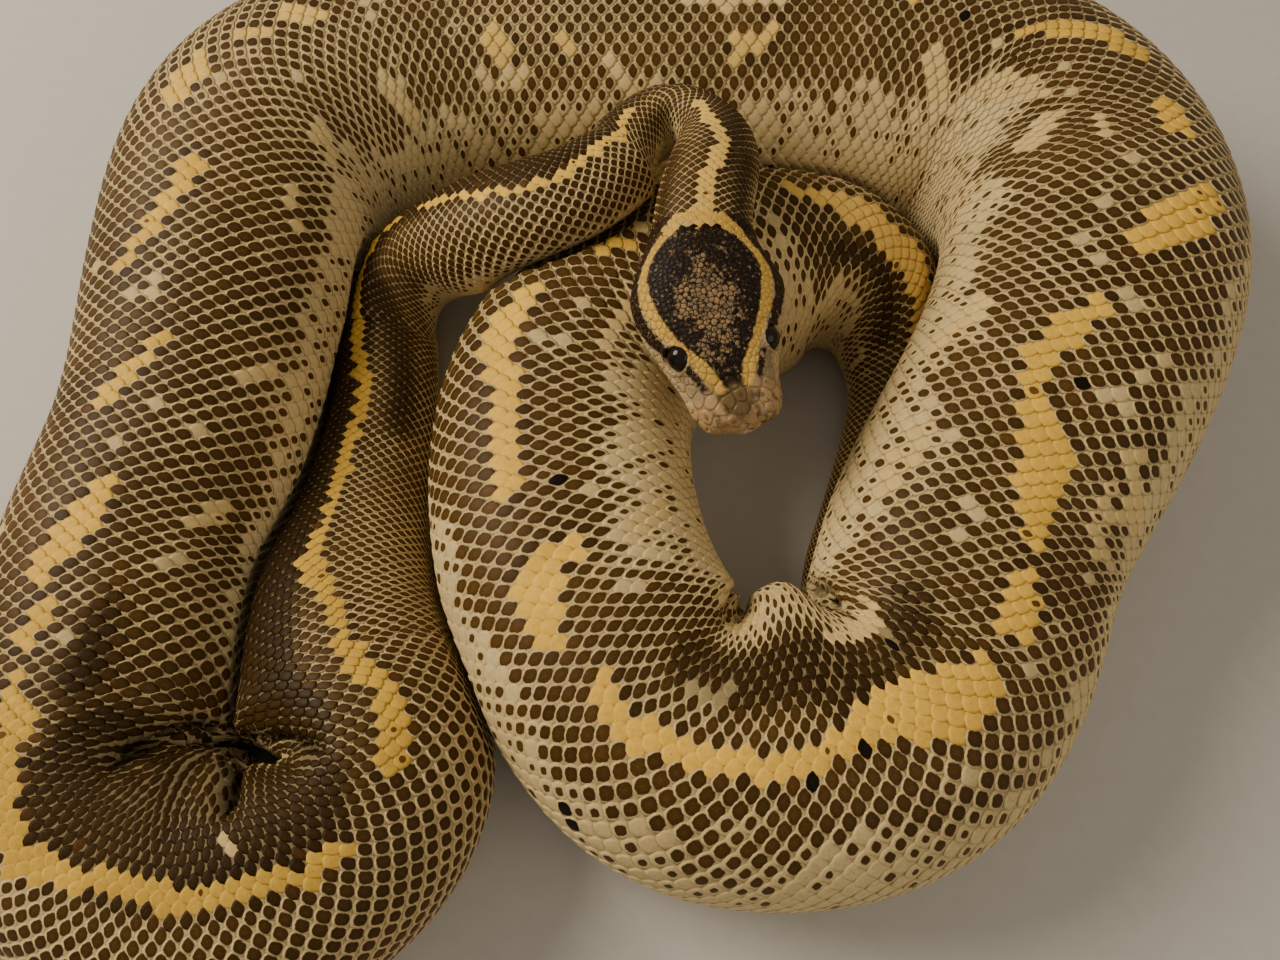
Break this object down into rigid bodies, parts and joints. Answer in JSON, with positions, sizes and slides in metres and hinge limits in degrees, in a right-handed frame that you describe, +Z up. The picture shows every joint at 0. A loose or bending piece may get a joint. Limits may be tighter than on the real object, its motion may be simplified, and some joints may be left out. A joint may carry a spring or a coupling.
{
  "type": "coiled ball python",
  "caption": "Life-size ball python lying in a loose coil on the floor, its head resting on its own body, brown scales with golden blotches on cream.",
  "frame": {"origin": "floor point below the middle of the coil's outline, seen from above", "axes": "+Z up from the floor; +X along the coil's longest side, to the right when the snout points towards the viewer; the snout points mostly towards -Y"},
  "size_m": [0.2834, 0.2664, 0.0714],
  "materials": {
    "skin": "satin scaled skin",
    "scales": "satin scaled skin",
    "eye": "polished"
  },
  "bodies": {
    "root": {"head": "scales", "lower_jaw": "scales", "eye_left": "eye", "eye_right": "eye", "neck": "skin", "trunk_1": "skin", "trunk_2": "skin", "trunk_3": "skin", "trunk_4": "skin", "trunk_5": "skin", "trunk_6": "skin", "trunk_7": "skin", "trunk_8": "skin", "tail": "skin"}
  },
  "joints": []
}
